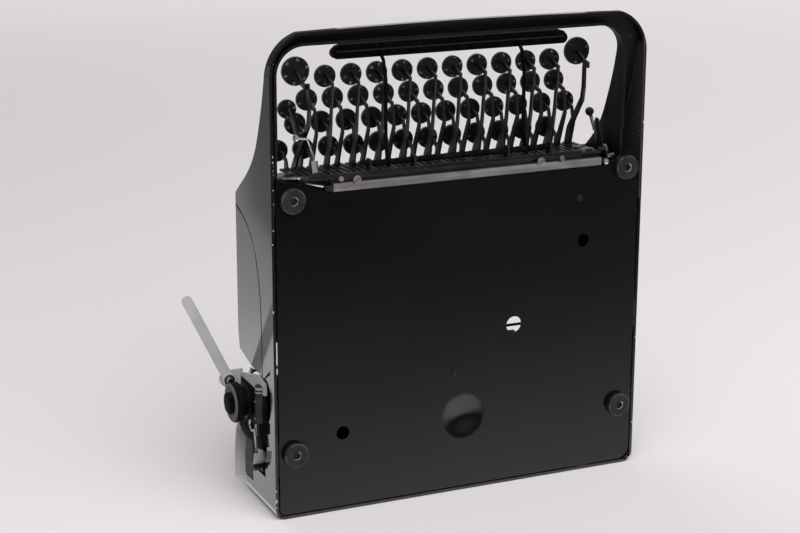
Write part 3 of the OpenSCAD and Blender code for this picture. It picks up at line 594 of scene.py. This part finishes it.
# the colour lever's bracket stands upright: its outline is (u, v) between two places on x
colourBracket = ([(257.8, 17.1), (257.4, 13), (251, 11), (243, 7), (238.6, 6), (236.9, 13.7), (245.8, 18.5),
                  (253.7, 19.2)], 110.4, 111.4)
railEnd = Form("rail_end", "machine", "bright_chrome")
railEnd.turned(stud["side"], stud["at"], (0, 0, -1))
railEnd.plates(railTabs)
railEnd.finish(0.15)
combBar = Form("comb_bar", "machine", "dark_steel")
combBar.plates(combTabs)
combBar.plate(*colourBracket, "x")
combBar.finish(0.3)
bracket = Form("set_bracket", "machine", "dark_steel")
bracket.plates(setBracket)
bracket.finish(0.3)


# Small works at the left end of the carriage. Upright plates have (u, v) outlines between two places on x
leftEnd = {
    "black": [
        ([(44, 60), (46.4, 70), (51, 62), (55.2, 49.3), (53.3, 38), (46, 38.6), (42.4, 50)], -140.3, -141.2),
        ([(83, 30), (84, 36), (77.5, 42.2), (66, 40.6), (59, 38), (64, 33), (80, 29.5)], -140.3, -140.9)],
    "slot": [([(96, 19.2), (97.6, 18.4), (105.2, 8.4), (104.4, 7.4), (102.8, 8)], -139.9, -140.1)],
    "studs": [(74.6, 37.4, 1.5), (71.2, 36, 1.1), (62.4, 36, 1.2), (55.6, 60, 1.0), (60.4, 67.5, 0.9)],
    "studX": -140.2,
    "platen": (70, 53),
    "hook": [(-143.6, 61, 39.4), (-143.8, 57.1, 39.8), (-143.8, 54.4, 36), (-143.8, 56.2, 31),
             (-143.6, 53, 28.4)],
    "nut": (-149, 82, 66.2),
    "nutSide": [(0, 2.4), (1.4, 2.3), (2.2, 1.7), (2.5, 0.8), (3.8, 0.6), (4, -0.4)]}
endBlack = Form("end_black", "carriage", "dark_steel", blackened)
endBlack.plates(leftEnd["black"], "x")
endBlack.finish(0.2)
# a thin black sheet on the left side wall, standing in for the shade inside the opening there: painted shade
slotShade = Form("side_slot_shade", "machine", "dark_steel", blackened)
slotShade.plates(leftEnd["slot"], "x")
slotShade.finish()
endBright = Form("end_bright", "carriage", "bright_chrome")
for u, v, radius in leftEnd["studs"]:
    dome = [(0, 1.0), (radius * 0.7, 0.9), (radius, 0.5), (radius, 0)]
    endBright.turned(dome, (leftEnd["studX"], u, v), (-1, 0, 0), 10)
endBright.finish()

# Line ratchet on the platen: 30 teeth, each with a tip and a root
hubU, hubV = leftEnd["platen"]
ratchet = Form("line_ratchet", "roller", "dark_steel")
tips = ring(30, 12.9)
roots = [ring(40, 11.6)[i * 4 // 3] for i in range(30)]
teeth = [(a + hubU, b + hubV) for pair in zip(tips, roots) for a, b in pair]
ratchet.plate(teeth, -142, -143.4, "x")
ratchet.finish()
releaseHook = Form("release_hook", "carriage_release", "bright_chrome")
releaseHook.rod(leftEnd["hook"], 1.0, 8)
releaseHook.finish()
returnNut = Form("return_nut", "return", "bright_chrome")
returnNut.turned(leftEnd["nutSide"], leftEnd["nut"], (0, 0, -1))
returnNut.finish()
knobBoss = Form("knob_boss", "roller", "key_plastic", blackened)
rough = [(hubU + a * (1 + 0.05 * math.sin(5 * i)), hubV + b * (1 + 0.06 * math.cos(3 * i)))
         for i, (a, b) in enumerate(ring(22, 7.6))]
knobBoss.plate(rough, -152.4, -155.6, "x")
knobBoss.finish(0.5)


# The space bar's rounded front lip and the ridge along its underside
spaceBar = {"lip": [(-87, 317.8), (-85.6, 319.9), (-82, 321.2), (82, 321.2), (85.6, 319.9), (87, 317.8),
                    (84, 319), (-84, 319)],
            "ridge": [(-85, 316.2), (85, 316.2), (85, 317), (-85, 317)]}
spaceLip = Form("space_lip", "space", "key_plastic", blackened)
spaceLip.plate(spaceBar["lip"], 20.1, 25.4)
spaceLip.finish(0.4)
spaceRidge = Form("space_ridge", "space", "key_plastic")
spaceRidge.plate(spaceBar["ridge"], 19.6, 20.1)
spaceRidge.finish(0.1)


# Paper bail over the platen
print("typewriter: bail and ribbon")
bail = {"u": 85.8, "v": 68.2, "reach": 131, "pivot": (77, 74)}
bar = Form("bail_rod", "carriage", "bright_chrome")
bar.rod([(-bail["reach"] - 1, bail["u"], bail["v"]), (bail["reach"] + 1, bail["u"], bail["v"])], 1.3, 14)
bar.finish()
arms = Form("bail_arms", "carriage", "bright_chrome")
for s in (-1, 1):
    low, high = sorted((s * bail["reach"], s * (bail["reach"] + 1.4)))
    (u0, v0), (u1, v1) = bail["pivot"], (bail["u"], bail["v"])
    lean = math.degrees(math.atan2(v1 - v0, u1 - u0))
    far = [(u1 + a, v1 + b) for a, b in ring(9, 2.6, lean - 90, 180)]
    near = [(u0 + a, v0 + b) for a, b in ring(9, 3.4, lean + 90, 180)]
    arms.plate(far + near, low, high, "x")
    arms.turned([(0, 0), (1.2, 0), (1.2, 9.4), (0, 9.4)], (s * (bail["reach"] - 2.4), u0, v0), (s, 0, 0))
arms.finish(0.2)
wheels = Form("bail_rollers", "carriage", "platen_rubber")
wheelSide = [(1.35, -4), (3.4, -4), (3.9, -3.3), (3.9, 3.3), (3.4, 4), (1.35, 4)]
for x in (-72, -24, 24, 72):
    wheels.turned(wheelSide, (x, bail["u"], bail["v"]), (1, 0, 0))
wheels.finish()


# Inked ribbon from spool to spool, past the printing point
def ribbonCloth():
    paint = Paint("inked ribbon")
    weave = paint.noise(2600, 2)
    ink = paint.noise(120, 4, (1, 1, 0.2))
    colour = paint.blend(ink.between(0.35, 0.7), (0.008, 0.008, 0.010), (0.02, 0.02, 0.023))
    return paint.finish(colour, 0.8, weave, 0.00004, 0.5)


ribbon = {"width": 12.4,
          "places": [(-87.2, 150, 50.6), (-50, 121, 52), (-15, 93.8, 54.6), (-12.6, 90.6, 54.9),
                     (-10, 88.4, 55), (10, 88.4, 55), (12.6, 90.6, 54.9), (15, 93.8, 54.6), (50, 121, 52),
                     (87.2, 150, 50.6)]}
inked = bmesh.new()
half = Vector((0, 0, ribbon["width"] / 2000))
pairs = []
for place in ribbon["places"]:
    middle = at(*place)
    pairs.append((inked.verts.new(middle - half), inked.verts.new(middle + half)))
for (a, b), (c, d) in zip(pairs, pairs[1:]):
    inked.faces.new((a, c, d, b))
ribbonLength = sum((at(*b) - at(*a)).length for a, b in zip(ribbon["places"], ribbon["places"][1:]))
ribbonMesh = bpy.data.meshes.new("ribbon")
inked.to_mesh(ribbonMesh)
inked.free()
ribbonMesh.materials.append(ribbonCloth())
ribbonPiece = bpy.data.objects.new("ribbon", ribbonMesh)
bpy.context.collection.objects.link(ribbonPiece)
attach(ribbonPiece, "machine")


# Keys: letters on top, bent tabs of the key rings underneath
def legendPaint():
    paint = Paint("legend paint")
    wear = paint.noise(260, 4)
    colour = paint.blend(wear.between(0.45, 0.7), (0.62, 0.6, 0.54), (0.5, 0.48, 0.42))
    return paint.finish(colour, 0.4 + wear * 0.15, wear, 0.00002, 0.2)


def tabSteel():
    paint = Paint("tab steel")
    wear = paint.noise(240, 3)
    colour = paint.blend(wear.between(0.46, 0.62), (0.035, 0.033, 0.034), (0.36, 0.345, 0.335))
    return paint.finish(colour, 0.36 + wear * 0.2, wear, 0.00002, 0.2, Metallic=0.8)


print("typewriter: keys")
# each row: u, v of its keys' undersides, the first key's place in pitches, the characters
keys = {"pitch": 18.8, "radius": 7.5, "height": 4.0, "letter": 6.4, "dish": 0.115,
        "rows": {"z": (299, 30, -4.74, "ZXCVBNM,.-"), "a": (282, 40, -5.24, "ASDFGHJKL;:"),
                 "q": (264, 50, -5.49, "QWERTYUIOP/*"), "n": (244, 60, -5.99, "234567890-=+")},
        "shift": [(-110.1, 303.7, 30, 9.75), (101.8, 303.4, 30, 9.75), (-113, 276.5, 38, 6.75)],
        "tabs": 6, "tabEnds": (0.8, 2.9)}
legend = legendPaint()
tabs = tabSteel()


def letter(text, centre, size):
    # the flat mesh of a character, laid in the dished top of a key
    curve = bpy.data.curves.new("character", "FONT")
    curve.body = text
    curve.size = size / 1000
    curve.align_x = "CENTER"
    curve.align_y = "CENTER"
    curve.resolution_u = 3
    holder = bpy.data.objects.new("character", curve)
    bpy.context.collection.objects.link(holder)
    bpy.context.view_layer.update()
    flat = bpy.data.meshes.new_from_object(holder.evaluated_get(bpy.context.evaluated_depsgraph_get()))
    bpy.data.objects.remove(holder)
    bpy.data.curves.remove(curve)
    shape = bmesh.new()
    shape.from_mesh(flat)
    bpy.data.meshes.remove(flat)
    for vert in shape.verts:
        lift = keys["dish"] * math.hypot(vert.co.x, vert.co.y) + 0.00005
        vert.co = at(*centre) + Vector((vert.co.x, vert.co.y, lift))
    return shape


def legendPiece(name, body, characters):
    whole = bmesh.new()
    for text, centre, size in characters:
        part = letter(text, centre, size)
        scratch = bpy.data.meshes.new("scratch")
        part.to_mesh(scratch)
        part.free()
        whole.from_mesh(scratch)
        bpy.data.meshes.remove(scratch)
    mesh = bpy.data.meshes.new(name)
    whole.to_mesh(mesh)
    whole.free()
    mesh.materials.append(legend)
    piece = bpy.data.objects.new(name, mesh)
    bpy.context.collection.objects.link(piece)
    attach(piece, body)


def tabRing(form, x, u, v, radius):
    # bent tabs in a ring on the underside, each a little different in width
    outer, inner = (radius - inset for inset in keys["tabEnds"])
    for i in range(keys["tabs"]):
        a = math.radians(20 + 360 * i / keys["tabs"])
        out = Vector((math.cos(a), math.sin(a)))
        side = Vector((-out.y, out.x)) * (1.0 + 0.25 * math.sin(5 * i + x))
        corners = [out * outer - side, out * outer + side, out * inner + side * 0.7, out * inner - side * 0.7]
        form.plate([(x + c.x, u + c.y) for c in corners], v - 0.35, v - 0.02)


def keyTrim(name, body, places):
    under = Form("tabs_" + name, body, "bare_steel", tabs)
    for text, x, u, v, radius in places:
        tabRing(under, x, u, v, radius)
    under.finish()
    top = keys["height"] - 1
    letters = [(text, (x, u, v + top), keys["letter"]) for text, x, u, v, radius in places if text]
    if letters:
        legendPiece("legend_" + name, body, letters)


for row, (u, v, start, characters) in keys["rows"].items():
    places = [(text, (start + i) * keys["pitch"], u, v, keys["radius"]) for i, text in enumerate(characters)]
    if row == "n":
        keyTrim("number_row", "number_row", places)
        continue
    for i, place in enumerate(places):
        name = f"{row}_{i + 1:02d}"
        keyTrim(name, "key_" + name, [place])
keyTrim("shift", "shift", [("", *place) for place in keys["shift"]])


# Stage, light and camera
def stagePlane(name, corner, sideA, sideB, colour, paintedFalloff=False):
    # seen from its front only, and by the camera only, so it takes the shadow and hides nothing
    shape = bmesh.new()
    verts = [shape.verts.new(corner + sideA * a + sideB * b) for a, b in ((0, 0), (1, 0), (1, 1), (0, 1))]
    shape.faces.new(verts)
    mesh = bpy.data.meshes.new(name)
    shape.to_mesh(mesh)
    shape.free()
    piece = bpy.data.objects.new(name, mesh)
    bpy.context.collection.objects.link(piece)
    paint = Paint(name)
    camera = paint.add("ShaderNodeLightPath", {}, {}, "Is Camera Ray")
    back = paint.add("ShaderNodeNewGeometry", {}, {}, "Backfacing")
    tint = (*colour, 1)
    if paintedFalloff:
        # the paper is painted brighter to the right and darker upwards: painted shading for the fall of light
        # across it
        x, z = paint.axis(0), paint.axis(2)
        tint = paint.blend(1.0 + x * 0.09 - z * 0.30 + z * z * 0.093, (0, 0, 0), colour)
    matt = paint.add("ShaderNodeBsdfDiffuse", {}, {"Color": tint})
    clear = paint.add("ShaderNodeBsdfTransparent", {}, {})
    mixed = paint.add("ShaderNodeMixShader", {}, {0: camera * (1 - back), 1: clear, 2: matt})
    paint.add("ShaderNodeOutputMaterial", {}, {"Surface": mixed})
    mesh.materials.append(paint.material)
    return piece


stage = {"paper": (0.84, 0.80, 0.82), "reach": 12, "sky": (0.74, 0.72, 0.735), "fill": 0.22}
reach = stage["reach"]
rear = body["depth"] / 2000 + 0.0002
stagePlane("paperSweep", Vector((-reach, rear, -reach)), Vector((2 * reach, 0, 0)), Vector((0, 0, 2 * reach)),
           stage["paper"], True)
stagePlane("tableTop", Vector((-reach, -reach, 0)), Vector((2 * reach, 0, 0)), Vector((0, 2 * reach, 0)),
           stage["paper"])

# What the enamel mirrors, by the direction of the mirrored ray: the room before the base plate, which is
# bright only low down, and the bright wall behind the left side with a dark doorway in it
room = {"near": [(-0.5, 0.5), (0.1, 0.2), (0.28, 0.03), (0.335, 0.03), (0.37, 0.08), (0.41, 0.28),
                 (0.43, 0.48), (0.465, 0.95), (0.52, 1.3)],
        "nearLean": 0.2,
        "far": [(0.2, 0.55), (0.25, 0.6), (0.267, 0.62), (0.292, 0.73), (0.317, 1.0), (0.345, 0.95),
                (0.382, 0.74), (0.6, 0.9)],
        "farFrom": 0.2,
        "door": (0.3200, 0.3225), "lintel": (-0.2975, -0.2925), "lintelLean": 1.68, "doorDark": 0.7}
world = bpy.data.worlds.new("studio")
bpy.context.scene.world = world
world.use_nodes = True
sky = Paint("studio", world.node_tree)
rayNames = ("Is Camera Ray", "Is Glossy Ray", "Is Transmission Ray")
seen, glossy, passed = (sky.add("ShaderNodeLightPath", {}, {}, name) for name in rayNames)
toward = sky.add("ShaderNodeTexCoord", {}, {}, "Generated")
aside, down, away = (sky.add("ShaderNodeSeparateXYZ", {}, {0: toward}, i) for i in range(3))
near = (down + aside * room["nearLean"]).ramp(room["near"])
doorway = (0 - aside).between(*room["door"])
doorway = doorway * (1 - (down + aside * room["lintelLean"]).between(*room["lintel"]))
far = down.ramp(room["far"]) * (1 - doorway * room["doorDark"])
behind = away > room["farFrom"]
mirrored = near * (1 - behind) + far * behind
colour = sky.blend(glossy, (stage["fill"],) * 3, mirrored)
colour = sky.blend(seen + passed, colour, stage["sky"])
glow = sky.add("ShaderNodeBackground", {}, {"Color": colour, "Strength": 1.0})
sky.add("ShaderNodeOutputWorld", {}, {"Surface": glow})


def lamp(name, toward, strength, spread):
    light = bpy.data.lights.new(name, "SUN")
    light.energy = strength
    light.angle = math.radians(spread)
    piece = bpy.data.objects.new(name, light)
    piece.rotation_mode = "QUATERNION"
    piece.rotation_quaternion = Vector(toward).to_track_quat("-Z", "Y")
    piece.visible_glossy = False
    bpy.context.collection.objects.link(piece)


lamp("left lamp", (0.20, 0.82, 0.54), 1.2, 60)
lamp("right lamp", (-0.05, 0.82, 0.57), 1.5, 60)
lamp("top lamp", (0.10, 0.35, -0.93), 0.8, 40)

# The camera looks up at the base plate from the machine's left, with the keys at the top, rolled in degrees
view = {"eye": (-557.97, 529.13, -1145.19), "aim": (-47.85, 170.55, 0), "roll": 0.158, "lens": 86.485}
eye = at(*view["eye"])
ahead = (at(*view["aim"]) - eye).normalized()
right = ahead.cross(way(0, 1, 0)).normalized()
turn = Matrix((right, right.cross(ahead), -ahead)).transposed()
turn = turn @ Matrix.Rotation(math.radians(view["roll"]), 3, "Z")
camera = bpy.data.objects.new("camera", bpy.data.cameras.new("camera"))
camera.matrix_world = Matrix.Translation(eye) @ turn.to_4x4()
camera.data.lens = view["lens"]
camera.data.sensor_width = 36
camera.data.clip_start = 0.01
camera.data.clip_end = 60
bpy.context.collection.objects.link(camera)
bpy.context.scene.camera = camera
bpy.context.scene.view_settings.view_transform = "Standard"
